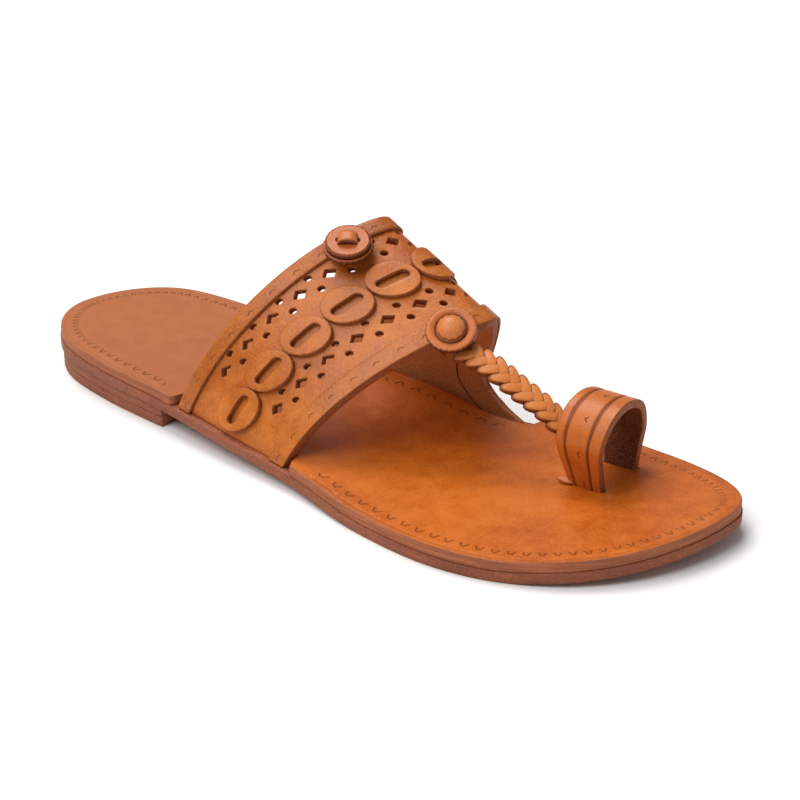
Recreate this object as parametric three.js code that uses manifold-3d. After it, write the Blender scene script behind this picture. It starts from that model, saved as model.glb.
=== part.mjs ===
// A kolhapuri sandal for the right foot: a flat leather sole on a low stacked heel, an open-work
// band over the instep, a braided thong and a ring for the big toe.
// Millimetres. +X runs from heel to toe, +Y towards the inner side of the foot, +Z up.
// The origin is on the floor, under the middle of the box around the sandal.

import * as THREE from "three";
import { mergeVertices } from "three/addons/utils/BufferGeometryUtils.js";
import Module from "manifold-3d";

const wasm = await Module();
wasm.setup();

// Driving dimensions of the last and the sole
const SHOE_LENGTH = 260;
const BALL_WIDTH = 93;
const HEEL_HEIGHT = 7.4;
const TOE_SPRING = 5;
const ARCH_RISE = 4;
const OUTSOLE_THICKNESS = 3.3;
const INSOLE_THICKNESS = 2.9;
const HEEL_BREAST_X = -57;
const INSOLE_INSET = 0.4;
const HEEL_INSET = 0.7;

// Driving dimensions of the instep band and what is laid on it
const BAND_WALL = 2.8;
const BAND_WIDTH = 48.5;
const BAND_INSET = 2;
const STRIP_THICKNESS = 1;
const BACK_STRIP_WIDTH = 5.1;
const FRONT_STRIP_WIDTH = 6;
const DISC_COUNT = 9;
const DISC_RADIUS = 7.6;
const DISC_PITCH = 15.5;
const DISC_THICKNESS = 1.4;
const SLOT_LENGTH = 11;
const SLOT_WIDTH = 4;
const DIAMOND_LONG = 5.6;
const DIAMOND_SHORT = 4.8;
const DIAMOND_PITCH = 11.1;
const DIAMONDS_EACH_SIDE = 5;
const HOLE_RADIUS = 1.2;
const HOLE_OFFSET = 2.9;

// Driving dimensions of the thong and the toe ring
const RING_WALL = 2.7;
const THONG_WIDTH = 7.8;
const THONG_END_WIDTH = 6.8;
const THONG_THICKNESS = 4.4;
const BRAID_CROSSINGS = 8;
const STRAND_RELIEF = 0.55;

// Pieces that touch keep this gap, and laid-on pieces that follow a curve a little more.
const GAP = 0.3;
const CURVED_GAP = 0.75;
const LAYER_GAP = 0.5;
const WELD = 1e-4;

// The sole's edge in plan: along is a share of the length from the middle, and outer (little-toe
// side) and inner (big-toe side) are shares of the ball width from the centre line.
const SOLE_OUTLINE = [
  { along: -0.5, outer: 0.113, inner: 0.113 },
  { along: -0.431, outer: -0.167, inner: 0.435 },
  { along: -0.327, outer: -0.253, inner: 0.478 },
  { along: -0.212, outer: -0.296, inner: 0.452 },
  { along: -0.096, outer: -0.349, inner: 0.42 },
  { along: 0.019, outer: -0.392, inner: 0.435 },
  { along: 0.135, outer: -0.468, inner: 0.45 },
  { along: 0.25, outer: -0.5, inner: 0.5 },
  { along: 0.346, outer: -0.441, inner: 0.473 },
  { along: 0.431, outer: -0.28, inner: 0.403 },
  { along: 0.5, outer: 0.188, inner: 0.188 },
];

// The underside of the outsole from the side. It lies on the floor where its height would be below 0.
const SOLE_UNDERSIDE = [
  { along: -0.5, height: HEEL_HEIGHT },
  { along: -0.365, height: HEEL_HEIGHT },
  { along: -0.231, height: 0.92 * HEEL_HEIGHT },
  { along: -0.115, height: 0.73 * HEEL_HEIGHT },
  { along: 0, height: 0.42 * HEEL_HEIGHT },
  { along: 0.115, height: 0.07 * HEEL_HEIGHT },
  { along: 0.17, height: -0.2 },
  { along: 0.3, height: -0.2 },
  { along: 0.365, height: 0.16 * TOE_SPRING },
  { along: 0.431, height: 0.48 * TOE_SPRING },
  { along: 0.5, height: TOE_SPRING },
];

// How far the inner edge of the sole curls up beside the arch of the foot.
const ARCH_CURL = [
  { along: -0.23, share: 0 },
  { along: -0.14, share: 0.8 },
  { along: -0.04, share: 1 },
  { along: 0.045, share: 0.95 },
  { along: 0.085, share: 0.6 },
  { along: 0.115, share: 0.15 },
  { along: 0.14, share: 0 },
];

// The two edges of the band: where each meets the sole on the outer and inner side, its highest
// point, and for each side how full its curve is (2 is an ellipse) and how late it comes forward.
// The inner foot flares towards the toe.
const BAND_FEET = {
  back: { outerX: -48.5, innerX: -30, innerFlare: 0 },
  front: { outerX: 1, innerX: 45, innerFlare: 27 },
};
const BAND_RIDGE = {
  back: { x: -3.5, y: 28, z: 69.2, outerFull: 1.69, innerFull: 2.2, outerLag: 1.2, innerLag: 1.2 },
  front: { x: 44, y: 16.5, z: 48.2, outerFull: 1.5, innerFull: 2.1, outerLag: 1.3, innerLag: 1 },
};

// Share of the girth over which the ridge of each edge is rounded off.
const RIDGE_EASE = 0.055;

// Middle of the ornament as a share of the band's girth, and the rows' distances from the back edge.
const ORNAMENT_CENTRE = 0.485;
const BACK_ROW = 9.5;
const DISC_ROW = 22.8;
const FRONT_ROW = 33.7;
const BACK_ROSETTE_ACROSS = 7.6;
const FRONT_ROSETTE_ACROSS = 47.8;

// The toe ring's outer face in cross-section, and the width of the leather there.
const RING_SECTION = [
  { y: 10, z: 4.2, rear: 78.2, front: 88.6 },
  { y: 7, z: 13, rear: 76.6, front: 89.4 },
  { y: 4.6, z: 23, rear: 75, front: 90.4 },
  { y: 9.5, z: 31.2, rear: 74.6, front: 91 },
  { y: 19, z: 34, rear: 75, front: 91 },
  { y: 28.5, z: 30.6, rear: 75.6, front: 90.8 },
  { y: 32.6, z: 22, rear: 76.4, front: 90.2 },
  { y: 31.8, z: 13, rear: 77.4, front: 89.4 },
  { y: 30.4, z: 4.2, rear: 78.6, front: 88.8 },
];

// The middle line of the thong, from the front edge of the band to the foot of the ring.
const THONG_ROUTE = [
  { x: 38.6, y: 6.8, z: 41.6 },
  { x: 50, y: 7.8, z: 38.2 },
  { x: 58, y: 8.6, z: 34 },
  { x: 69, y: 10.4, z: 27.4 },
  { x: 77, y: 13.2, z: 18 },
  { x: 80, y: 15.2, z: 9.4 },
];

// Leather finishes
const TAN = { color: 0xb8651f, roughness: 0.42, metalness: 0 };
const STRIP_TAN = { color: 0xb4641f, roughness: 0.45, metalness: 0 };
const INSOLE_TAN = { color: 0xb56a2c, roughness: 0.45, metalness: 0 };
const SOLE_BROWN = { color: 0x7a3f22, roughness: 0.8, metalness: 0 };
const BRAID_TAN = { color: 0xc07432, roughness: 0.5, metalness: 0 };

const HALF_LENGTH = SHOE_LENGTH / 2;
const EPSILON = 1e-3;

// A smooth curve through one column of a table, read against another column.
function column(rows, key, value) {
  const keys = rows.map(key);
  const values = rows.map(value);
  const spline = new THREE.CubicInterpolant(keys, values, 1);
  return (at) => spline.evaluate(Math.min(Math.max(at, keys[0]), keys[keys.length - 1]))[0];
}

// A closed skin from four-cornered faces: corners are welded, faces lost at a tip are dropped, and
// the whole is turned to face outwards.
function skinFrom(faces) {
  const corners = faces.flatMap(([a, b, c, d]) => [a, b, c, a, c, d]);
  const welded = mergeVertices(new THREE.BufferGeometry().setFromPoints(corners), WELD);
  const index = welded.index.array;
  const place = welded.getAttribute("position");
  const at = (i) => new THREE.Vector3().fromBufferAttribute(place, i);
  const kept = [];
  let volume = 0;
  for (let i = 0; i < index.length; i += 3) {
    const [a, b, c] = [index[i], index[i + 1], index[i + 2]];
    if (a === b || b === c || c === a) continue;
    kept.push([a, b, c]);
    volume += at(a).dot(at(b).cross(at(c)));
  }
  const turned = volume < 0 ? kept.map(([a, b, c]) => [a, c, b]) : kept;
  return welded.setIndex(turned.flat());
}

// A wall between two surfaces, outside(u, v) and inside(u, v), with its four rims, or only two where
// v runs round a closed ring.
function wallBetween(outside, inside, rows, columns, closed = false) {
  const faces = [];
  const quad = (surface, i, j) => [
    surface(i / rows, j / columns),
    surface((i + 1) / rows, j / columns),
    surface((i + 1) / rows, (j + 1) / columns),
    surface(i / rows, (j + 1) / columns),
  ];
  const rim = (a, b) => [outside(...a), outside(...b), inside(...b), inside(...a)];
  for (let i = 0; i < rows; i++) {
    for (let j = 0; j < columns; j++) {
      faces.push(quad(outside, i, j));
      faces.push(quad(inside, i, j).reverse());
    }
    if (closed) continue;
    faces.push(rim([(i + 1) / rows, 0], [i / rows, 0]));
    faces.push(rim([i / rows, 1], [(i + 1) / rows, 1]));
  }
  for (let j = 0; j < columns; j++) {
    faces.push(rim([0, j / columns], [0, (j + 1) / columns]));
    faces.push(rim([1, (j + 1) / columns], [1, j / columns]));
  }
  return skinFrom(faces);
}

// A bar of closed section around(u, v) with a flat cap at each end.
function barAlong(around, middle, rows, columns) {
  const faces = [];
  for (let j = 0; j < columns; j++) {
    const [v, next] = [j / columns, (j + 1) / columns];
    for (let i = 0; i < rows; i++) {
      const [u, on] = [i / rows, (i + 1) / rows];
      faces.push([around(u, v), around(on, v), around(on, next), around(u, next)]);
    }
    faces.push([middle(0), around(0, v), around(0, next), middle(0)]);
    faces.push([middle(1), around(1, next), around(1, v), middle(1)]);
  }
  return skinFrom(faces);
}

function solidOf(geometry) {
  const bare = geometry.clone();
  bare.deleteAttribute("normal");
  bare.deleteAttribute("uv");
  const welded = mergeVertices(bare, WELD);
  const vertProperties = welded.getAttribute("position").array;
  const triVerts = new Uint32Array(welded.index.array);
  return new wasm.Manifold(new wasm.Mesh({ numProp: 3, vertProperties, triVerts }));
}

function geometryOf(solid) {
  const mesh = solid.getMesh();
  const geometry = new THREE.BufferGeometry();
  geometry.setAttribute("position", new THREE.BufferAttribute(mesh.vertProperties, 3));
  return geometry.setIndex(new THREE.BufferAttribute(mesh.triVerts, 1));
}

const sandal = new THREE.Group();

function addPiece(name, geometry, finish) {
  const mesh = new THREE.Mesh(geometry, new THREE.MeshStandardMaterial(finish));
  mesh.name = name;
  sandal.add(mesh);
}

// The sole's surfaces. The edge is read against the angle round the sole, which rounds heel and toe.
const angleAt = (along) => Math.acos(Math.min(1, Math.max(-1, -2 * along)));
const outerEdge = column(SOLE_OUTLINE, (r) => angleAt(r.along), (r) => r.outer * BALL_WIDTH);
const innerEdge = column(SOLE_OUTLINE, (r) => angleAt(r.along), (r) => r.inner * BALL_WIDTH);
const outerY = (x) => outerEdge(angleAt(x / SHOE_LENGTH));
const innerY = (x) => innerEdge(angleAt(x / SHOE_LENGTH));
const underside = column(SOLE_UNDERSIDE, (r) => r.along * SHOE_LENGTH, (r) => r.height);
const archCurl = column(ARCH_CURL, (r) => r.along * SHOE_LENGTH, (r) => r.share * ARCH_RISE);

// The inner half of the sole curls up, straight between these columns so that its layers fit.
const SOLE_COLUMNS = [0, 0.25, 0.5, 0.68, 0.84, 1];

function curl(x, y) {
  const across = (y - outerY(x)) / (innerY(x) - outerY(x) + EPSILON);
  const found = SOLE_COLUMNS.findIndex((c) => c >= across);
  const after = found < 0 ? SOLE_COLUMNS.length - 1 : Math.max(1, found);
  const [low, high] = [SOLE_COLUMNS[after - 1], SOLE_COLUMNS[after]];
  const bend = (c) => Math.max(0, 2 * c - 1) ** 2;
  const share = THREE.MathUtils.lerp(bend(low), bend(high), (across - low) / (high - low));
  return Math.max(0, archCurl(x)) * share;
}

const soleBottom = (x, y) => Math.max(0, underside(x)) + curl(x, y);
const soleTop = (x, y) => soleBottom(x, y) + OUTSOLE_THICKNESS;
const insoleBottom = (x, y) => soleTop(x, y) + LAYER_GAP;
const insoleTop = (x, y) => insoleBottom(x, y) + INSOLE_THICKNESS;

// A layer of the sole between two heights, over a list of angles from heel to toe, drawn in by an
// inset that may differ along each edge.
function soleLayer(bottom, top, inset, outerInset, innerInset, angles) {
  const shrink = (HALF_LENGTH - inset) / HALF_LENGTH;
  const rows = angles.length - 1;
  const columns = SOLE_COLUMNS.length - 1;
  const point = (height) => (u, v) => {
    const angle = angles[Math.round(u * rows)];
    const across = SOLE_COLUMNS[Math.round(v * columns)];
    const x = -HALF_LENGTH * Math.cos(angle);
    const ends = Math.min(1, 2 * Math.sin(angle));
    const low = outerEdge(angle) + outerInset(x) * ends;
    const high = innerEdge(angle) - innerInset(x) * ends;
    const level = THREE.MathUtils.lerp(outerEdge(angle), innerEdge(angle), across);
    const rims = { 0: low, 1: high };
    const y = rims[across] ?? THREE.MathUtils.clamp(level, low, high);
    return new THREE.Vector3(x * shrink, y, height(x * shrink, y));
  };
  return wallBetween(point(top), point(bottom), rows, columns);
}

const SOLE_ROWS = 40;
const plainInset = (inset) => () => inset;

function anglesTo(lastAngle, rows) {
  return Array.from({ length: rows + 1 }, (_, i) => (i / rows) * lastAngle);
}

// The insole is cut back along each foot of the band, so the band reaches the outsole beside it.
const BAND_LEAN = 2.3;
const NOTCH_DEPTH = BAND_INSET + BAND_WALL + BAND_LEAN + 2 * GAP;
const NOTCH_MARGIN = 2.2;
const ROW_CLEARANCE = 0.02;
const NOTCH_SLOPE = 2.5;
const notchOver = (from, to) => ({ from: from - NOTCH_MARGIN, to: to + NOTCH_MARGIN });
const OUTER_NOTCH = notchOver(BAND_FEET.back.outerX, BAND_FEET.front.outerX);
const INNER_NOTCH = notchOver(BAND_FEET.back.innerX, BAND_FEET.front.innerX);

function notchedInset({ from, to }) {
  const into = (x) => THREE.MathUtils.clamp((x - from + NOTCH_SLOPE) / NOTCH_SLOPE, 0, 1);
  const outOf = (x) => THREE.MathUtils.clamp((x - to) / NOTCH_SLOPE, 0, 1);
  return (x) => INSOLE_INSET + (NOTCH_DEPTH - INSOLE_INSET) * (into(x) - outOf(x));
}

// Rows of the sole: even ones, and one at each corner of the notches.
function soleAngles() {
  const slopes = ({ from, to }) => [from - NOTCH_SLOPE, from, to, to + NOTCH_SLOPE];
  const corners = [...slopes(OUTER_NOTCH), ...slopes(INNER_NOTCH)];
  const extra = corners.map((x) => angleAt(x / SHOE_LENGTH));
  const close = (a) => extra.some((b) => Math.abs(a - b) < ROW_CLEARANCE);
  return [...anglesTo(Math.PI, SOLE_ROWS).filter((a) => !close(a)), ...extra].sort((a, b) => a - b);
}

function outsole() {
  const none = plainInset(0);
  return soleLayer(soleBottom, soleTop, 0, none, none, soleAngles());
}

// What the feet of the band are trimmed by: the outsole, a little higher and wider than it is.
const FOOT_DEPTH = 2;
const TRIM_DEPTH = 8;

function soleTrim() {
  const wider = plainInset(-TRIM_DEPTH / 2);
  const bottom = (x, y) => soleBottom(x, y) - TRIM_DEPTH;
  const top = (x, y) => soleTop(x, y) + GAP;
  return solidOf(soleLayer(bottom, top, 0, wider, wider, soleAngles()));
}

// The ring's outer face, and the same face moved inwards by a depth.
const RING_STEPS = RING_SECTION.length - 1;
const ringShare = (row) => RING_SECTION.indexOf(row) / RING_STEPS;
const ringCurve = {
  y: column(RING_SECTION, ringShare, (r) => r.y),
  z: column(RING_SECTION, ringShare, (r) => r.z),
  rear: column(RING_SECTION, ringShare, (r) => r.rear),
  front: column(RING_SECTION, ringShare, (r) => r.front),
};

function ringFace(depth, spread = 0) {
  return (u, v) => {
    const rise = ringCurve.z(u + EPSILON) - ringCurve.z(u - EPSILON);
    const run = ringCurve.y(u + EPSILON) - ringCurve.y(u - EPSILON);
    const size = Math.hypot(rise, run);
    const x = THREE.MathUtils.lerp(ringCurve.rear(u) - spread, ringCurve.front(u) + spread, v);
    const y = ringCurve.y(u) + (depth * rise) / size;
    const z = ringCurve.z(u) - (depth * run) / size;
    return new THREE.Vector3(x, y, z);
  };
}

const RING_ROWS = 36;
const RING_COLUMNS = 3;

function toeRing() {
  return wallBetween(ringFace(0), ringFace(RING_WALL), RING_ROWS, RING_COLUMNS);
}

function ringWithClearance() {
  return wallBetween(ringFace(-GAP, GAP), ringFace(RING_WALL + GAP, GAP), RING_ROWS, 1);
}

function insole() {
  const outer = notchedInset(OUTER_NOTCH);
  const inner = notchedInset(INNER_NOTCH);
  const layer = soleLayer(insoleBottom, insoleTop, INSOLE_INSET, outer, inner, soleAngles());
  return geometryOf(solidOf(layer).subtract(solidOf(ringWithClearance())));
}

// The heel: two lifts of sole leather, the lower one flat on the floor.
const HEEL_ROWS = 12;
const LIFT_HEIGHT = HEEL_HEIGHT / 2;

function heelLift(bottom, top) {
  const breast = angleAt(HEEL_BREAST_X / SHOE_LENGTH);
  const inset = plainInset(HEEL_INSET);
  return soleLayer(bottom, top, HEEL_INSET, inset, inset, anglesTo(breast, HEEL_ROWS));
}

// One edge of the band as a curve from its outer foot (0) to its inner foot (1), even along its length.
// Each side is a quarter of a full oval, and leans forward on its way up to the ridge.
const EDGE_STEPS = 120;
const FLARE_REACH = 0.22;
const FLARE_POWER = 1.3;

function runningLengths(points) {
  const lengths = [0];
  for (let i = 1; i < points.length; i++) {
    lengths.push(lengths[i - 1] + points[i].distanceTo(points[i - 1]));
  }
  return lengths;
}

function archSide(foot, ridge, full, lag) {
  const points = [];
  for (let i = 0; i <= EDGE_STEPS; i++) {
    const turn = (i / EDGE_STEPS) * (Math.PI / 2);
    const away = i === EDGE_STEPS ? 0 : Math.cos(turn) ** (2 / full);
    const up = Math.sin(turn) ** (2 / full);
    const y = THREE.MathUtils.lerp(ridge.y, foot.y, away);
    const z = THREE.MathUtils.lerp(foot.z, ridge.z, up);
    points.push(new THREE.Vector3(0, y, z));
  }
  const lengths = runningLengths(points);
  const forward = (i) => (lengths[i] / lengths[EDGE_STEPS]) ** lag;
  points.forEach((p, i) => p.setX(THREE.MathUtils.lerp(foot.x, ridge.x, forward(i))));
  return points;
}

function flareFoot(points, flare) {
  const lengths = runningLengths(points);
  points.forEach((p, i) => {
    const up = lengths[i] / lengths[EDGE_STEPS];
    p.x += flare * Math.max(0, 1 - up / FLARE_REACH) ** FLARE_POWER;
  });
}

const EASE_WEIGHTS = [1, 2, 3, 2, 1];
const EASE_SUM = 9;

function bandEdge(feet, ridge) {
  const footAt = (x, y) => new THREE.Vector3(x, y, soleTop(x, y) - FOOT_DEPTH);
  const outerFoot = footAt(feet.outerX, outerY(feet.outerX) + BAND_INSET);
  const innerFoot = footAt(feet.innerX, innerY(feet.innerX) - BAND_INSET);
  innerFoot.x -= feet.innerFlare;
  const outerSide = archSide(outerFoot, ridge, ridge.outerFull, ridge.outerLag);
  const innerSide = archSide(innerFoot, ridge, ridge.innerFull, ridge.innerLag);
  const points = [...outerSide, ...innerSide.toReversed().slice(1)];
  const lengths = runningLengths(points);
  flareFoot(innerSide, feet.innerFlare);
  const total = lengths[lengths.length - 1];
  const onEdge = (share) => {
    const wanted = Math.min(Math.max(share, 0), 1) * total;
    const after = Math.max(1, lengths.findIndex((l) => l >= wanted - WELD));
    const part = (wanted - lengths[after - 1]) / (lengths[after] - lengths[after - 1]);
    return points[after - 1].clone().lerp(points[after], part);
  };
  return (share) => {
    const step = Math.max(0, Math.min(RIDGE_EASE, share, 1 - share)) / 2;
    const eased = new THREE.Vector3();
    EASE_WEIGHTS.forEach((weight, i) => {
      eased.addScaledVector(onEdge(share + (i - 2) * step), weight / EASE_SUM);
    });
    return eased;
  };
}

const backEdge = bandEdge(BAND_FEET.back, BAND_RIDGE.back);
const frontEdge = bandEdge(BAND_FEET.front, BAND_RIDGE.front);

// The band's outer face: s runs over the instep from the outer foot to the inner, and w from the back
// edge to the front. Near each foot it settles on to the outsole's curved rim.
const FOOT_REACH = 0.22;

function bandPoint(s, w) {
  const point = backEdge(s).lerp(frontEdge(s), w);
  for (const [end, edgeY, side] of [[0, outerY, 1], [1, innerY, -1]]) {
    const away = Math.abs(s - end) / FOOT_REACH;
    if (away >= 1) continue;
    const straight = backEdge(end).lerp(frontEdge(end), w);
    const settled = straight.clone();
    settled.y = edgeY(straight.x) + side * BAND_INSET;
    settled.z = soleTop(settled.x, settled.y) - FOOT_DEPTH;
    point.addScaledVector(settled.sub(straight), (1 - away) ** 2);
  }
  return point;
}

// Directions on the band: along the girth, across the width, and out of the leather.
function bandFrame(s, w) {
  const [s0, s1] = [Math.max(0, s - EPSILON), Math.min(1, s + EPSILON)];
  const [w0, w1] = [Math.max(0, w - EPSILON), Math.min(1, w + EPSILON)];
  const along = bandPoint(s1, w).sub(bandPoint(s0, w)).normalize();
  const across = bandPoint(s, w1).sub(bandPoint(s, w0)).normalize();
  const out = new THREE.Vector3().crossVectors(across, along).normalize();
  across.crossVectors(along, out).normalize();
  return { along, across, out };
}

const bandFace = (lift) => (s, w) => bandPoint(s, w).addScaledVector(bandFrame(s, w).out, lift);

function girthAt(w) {
  let girth = 0;
  for (let i = 0; i < EDGE_STEPS; i++) {
    girth += bandPoint(i / EDGE_STEPS, w).distanceTo(bandPoint((i + 1) / EDGE_STEPS, w));
  }
  return girth;
}

const widthAt = (s) => frontEdge(s).distanceTo(backEdge(s));
const girths = new Map();

// A place on the band in millimetres: along the girth from the ornament's middle, across from the back.
function onBand(along, across) {
  if (!girths.has(across)) girths.set(across, girthAt(across / BAND_WIDTH));
  return [ORNAMENT_CENTRE + along / girths.get(across), across / BAND_WIDTH];
}

// The place and turn of a piece seated on the band, lifted clear of it.
function seat(along, across, lift) {
  const [s, w] = onBand(along, across);
  const frame = bandFrame(s, w);
  const place = bandPoint(s, w).addScaledVector(frame.out, lift);
  return new THREE.Matrix4().makeBasis(frame.along, frame.across.negate(), frame.out).setPosition(place);
}

// Cutters for the open-work: a diamond, and a pair of round holes across the row between diamonds.
const CUTTER_DEPTH = 8;
const HOLE_HALF_SIDES = 3;

function prism(shape, curveSegments) {
  const options = { depth: CUTTER_DEPTH, bevelEnabled: false, curveSegments };
  return new THREE.ExtrudeGeometry(shape, options).translate(0, 0, -CUTTER_DEPTH / 2);
}

function diamondCutter() {
  const shape = new THREE.Shape();
  shape.moveTo(DIAMOND_LONG / 2, 0);
  shape.lineTo(0, DIAMOND_SHORT / 2);
  shape.lineTo(-DIAMOND_LONG / 2, 0);
  shape.lineTo(0, -DIAMOND_SHORT / 2);
  return prism(shape, 1);
}

function holeCutter() {
  return prism(new THREE.Shape().absarc(0, 0, HOLE_RADIUS, 0, 2 * Math.PI), HOLE_HALF_SIDES);
}

const BAND_ROWS = 36;
const BAND_COLUMNS = [0, BACK_STRIP_WIDTH, BAND_WIDTH / 2, BAND_WIDTH - FRONT_STRIP_WIDTH, BAND_WIDTH];

// A layer of the band between two lifts from its outer face, over some of its columns, trimmed to
// the sole.
function bandLayer(under, over, columns) {
  const share = (v) => columns[Math.round(v * (columns.length - 1))] / BAND_WIDTH;
  const face = (lift) => (u, v) => bandFace(lift)(u, share(v));
  const layer = wallBetween(face(over), face(under), BAND_ROWS, columns.length - 1);
  return solidOf(layer).subtract(soleTrim());
}

function instepBand() {
  let solid = bandLayer(-BAND_WALL, 0, BAND_COLUMNS);
  const cut = (cutter, along, across) => {
    solid = solid.subtract(solidOf(cutter.clone().applyMatrix4(seat(along, across, 0))));
  };
  const diamond = diamondCutter();
  const hole = holeCutter();
  for (const row of [BACK_ROW, FRONT_ROW]) {
    for (let k = -DIAMONDS_EACH_SIDE; k <= DIAMONDS_EACH_SIDE; k++) {
      const underRosette = row === BACK_ROW && k === 0;
      if (!underRosette) cut(diamond, k * DIAMOND_PITCH, row);
      if (k === DIAMONDS_EACH_SIDE) continue;
      const between = (k + 0.5) * DIAMOND_PITCH;
      cut(hole, between, row - HOLE_OFFSET);
      cut(hole, between, row + HOLE_OFFSET);
    }
  }
  return geometryOf(solid);
}

// An edge strip: a second layer of leather laid along the band over some of its columns.
function edgeStrip(columns) {
  return geometryOf(bandLayer(GAP, GAP + STRIP_THICKNESS, columns));
}

// A slotted disc that follows the band's curve. u runs from the slot to the rim, v round the disc.
const DISC_SIDES = 16;

function slottedDisc(along) {
  const straight = (SLOT_LENGTH - SLOT_WIDTH) / 2;
  const spot = (u, v) => {
    const turn = 2 * Math.PI * v;
    const slotAlong = Math.sign(Math.cos(turn)) * straight + (Math.cos(turn) * SLOT_WIDTH) / 2;
    const slotAcross = (Math.sin(turn) * SLOT_WIDTH) / 2;
    const x = THREE.MathUtils.lerp(slotAlong, Math.cos(turn) * DISC_RADIUS, u);
    const y = THREE.MathUtils.lerp(slotAcross, Math.sin(turn) * DISC_RADIUS, u);
    const [s, w] = onBand(along, DISC_ROW);
    return [s + x / girths.get(DISC_ROW), w + y / widthAt(s)];
  };
  const halfStep = 0.5 / DISC_SIDES;
  const face = (lift) => (u, v) => bandFace(lift)(...spot(u, v === 1 ? halfStep : v + halfStep));
  return wallBetween(face(CURVED_GAP + DISC_THICKNESS), face(CURVED_GAP), 2, DISC_SIDES, true);
}

// Rosettes are turned shapes: a flat disc with an eased rim, and a domed button.
const ROSETTE_SIDES = 24;
const RIM_EASE = 0.4;

function turned(profile) {
  const points = profile.map(([radius, height]) => new THREE.Vector2(radius, height));
  return new THREE.LatheGeometry(points, ROSETTE_SIDES).rotateX(Math.PI / 2);
}

function easedDisc(radius, thickness, foot = [[0, 0]]) {
  const rim = [[radius, 0], [radius, thickness - RIM_EASE], [radius - RIM_EASE, thickness]];
  return turned([...foot, ...rim, [0, thickness]]);
}

const DOME_STEPS = 4;

function domedButton(radius, height) {
  const profile = [[0, 0], [radius, 0]];
  for (let i = 1; i <= DOME_STEPS; i++) {
    const turn = (i / DOME_STEPS) * (Math.PI / 2);
    profile.push([i === DOME_STEPS ? 0 : radius * Math.cos(turn), height * Math.sin(turn)]);
  }
  return turned(profile);
}

// The knot on the back rosette: a short piece of thong bent over its middle.
const KNOT = { length: 6.4, width: 4.6, height: 2.2, turn: -31, curveSegments: 6 };

function thongKnot() {
  const shape = new THREE.Shape();
  shape.moveTo(-KNOT.length / 2, 0);
  shape.bezierCurveTo(-KNOT.length / 2, KNOT.height, -KNOT.length / 4, KNOT.height, 0, KNOT.height);
  shape.bezierCurveTo(KNOT.length / 4, KNOT.height, KNOT.length / 2, KNOT.height, KNOT.length / 2, 0);
  const options = { depth: KNOT.width, bevelEnabled: false, curveSegments: KNOT.curveSegments };
  const bar = new THREE.ExtrudeGeometry(shape, options);
  bar.translate(0, 0, -KNOT.width / 2).rotateX(Math.PI / 2);
  return bar.rotateZ(THREE.MathUtils.degToRad(KNOT.turn));
}

const STRIP_TOP = GAP + STRIP_THICKNESS;
const BACK_TIP = { tilt: 13, lean: -10, raised: 1.9 };
const FRONT_TIP = { tilt: 0, lean: 0, raised: 0 };
const ROSETTES = {
  back: { along: -2.4, across: BACK_ROSETTE_ACROSS, radius: 8, thickness: 1.7, ...BACK_TIP },
  front: { along: -1.2, across: FRONT_ROSETTE_ACROSS, radius: 8, thickness: 1.6, ...FRONT_TIP },
};
const UPPER_DISC_RADIUS = 7.2;

// The tie that holds the tipped back rosette: a short post under its lower disc, beside the strip.
const TIE = { radius: 2.4, length: 3.1 };
const TIE_FOOT = [[0, -TIE.length], [TIE.radius, -TIE.length], [TIE.radius, 0]];
const BUTTON = { radius: 4.4, height: 2.8 };

function seated(geometry, { along, across, tilt, lean, raised }, lift) {
  const back = THREE.MathUtils.degToRad(lean);
  const turn = THREE.MathUtils.degToRad(tilt);
  const tipped = geometry.translate(0, 0, lift).rotateX(back).rotateY(turn);
  return tipped.applyMatrix4(seat(along, across, raised));
}

// The braided thong: a flattened bar whose crossing strands stand up as chevrons pointing to the toe.
const THONG_ROWS = 5 * BRAID_CROSSINGS;
const THONG_SIDES = 10;
const CHEVRON_REACH = 0.55;

function braidedThong() {
  const places = THONG_ROUTE.map(({ x, y, z }) => new THREE.Vector3(x, y, z));
  const route = new THREE.CatmullRomCurve3(places, false, "centripetal");
  const up = new THREE.Vector3(0, 0, 1);
  const around = (u, v) => {
    const heading = route.getTangentAt(u);
    const side = new THREE.Vector3().crossVectors(up, heading).normalize();
    const top = new THREE.Vector3().crossVectors(heading, side).normalize();
    const turn = 2 * Math.PI * v;
    const width = THREE.MathUtils.lerp(THONG_WIDTH, THONG_END_WIDTH, u);
    const across = Math.cos(turn);
    const phase = u * BRAID_CROSSINGS + CHEVRON_REACH * Math.abs(across) + (across > 0 ? 0.5 : 0);
    const strand = STRAND_RELIEF * Math.abs(Math.sin(Math.PI * phase));
    const half = width / 2 - STRAND_RELIEF + strand;
    const deep = THONG_THICKNESS / 2 - STRAND_RELIEF + strand;
    const out = side.multiplyScalar(across * half).addScaledVector(top, Math.sin(turn) * deep);
    return route.getPointAt(u).add(out);
  };
  return barAlong(around, (u) => route.getPointAt(u), THONG_ROWS, THONG_SIDES);
}

// Assembly, from the floor up
const lowerLift = heelLift(() => 0, () => LIFT_HEIGHT - GAP / 2);
const upperLift = heelLift(() => LIFT_HEIGHT + GAP / 2, (x, y) => soleBottom(x, y) - GAP);
addPiece("heel_lift_lower", lowerLift, SOLE_BROWN);
addPiece("heel_lift_upper", upperLift, SOLE_BROWN);
addPiece("outsole", outsole(), SOLE_BROWN);
addPiece("insole", insole(), INSOLE_TAN);
addPiece("instep_band", instepBand(), TAN);
addPiece("back_edge_strip", edgeStrip(BAND_COLUMNS.slice(0, 2)), STRIP_TAN);
addPiece("front_edge_strip", edgeStrip(BAND_COLUMNS.slice(-2)), STRIP_TAN);

for (let k = 0; k < DISC_COUNT; k++) {
  const along = (k - (DISC_COUNT - 1) / 2) * DISC_PITCH;
  addPiece(`slotted_disc_${k + 1}`, slottedDisc(along), TAN);
}

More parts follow.
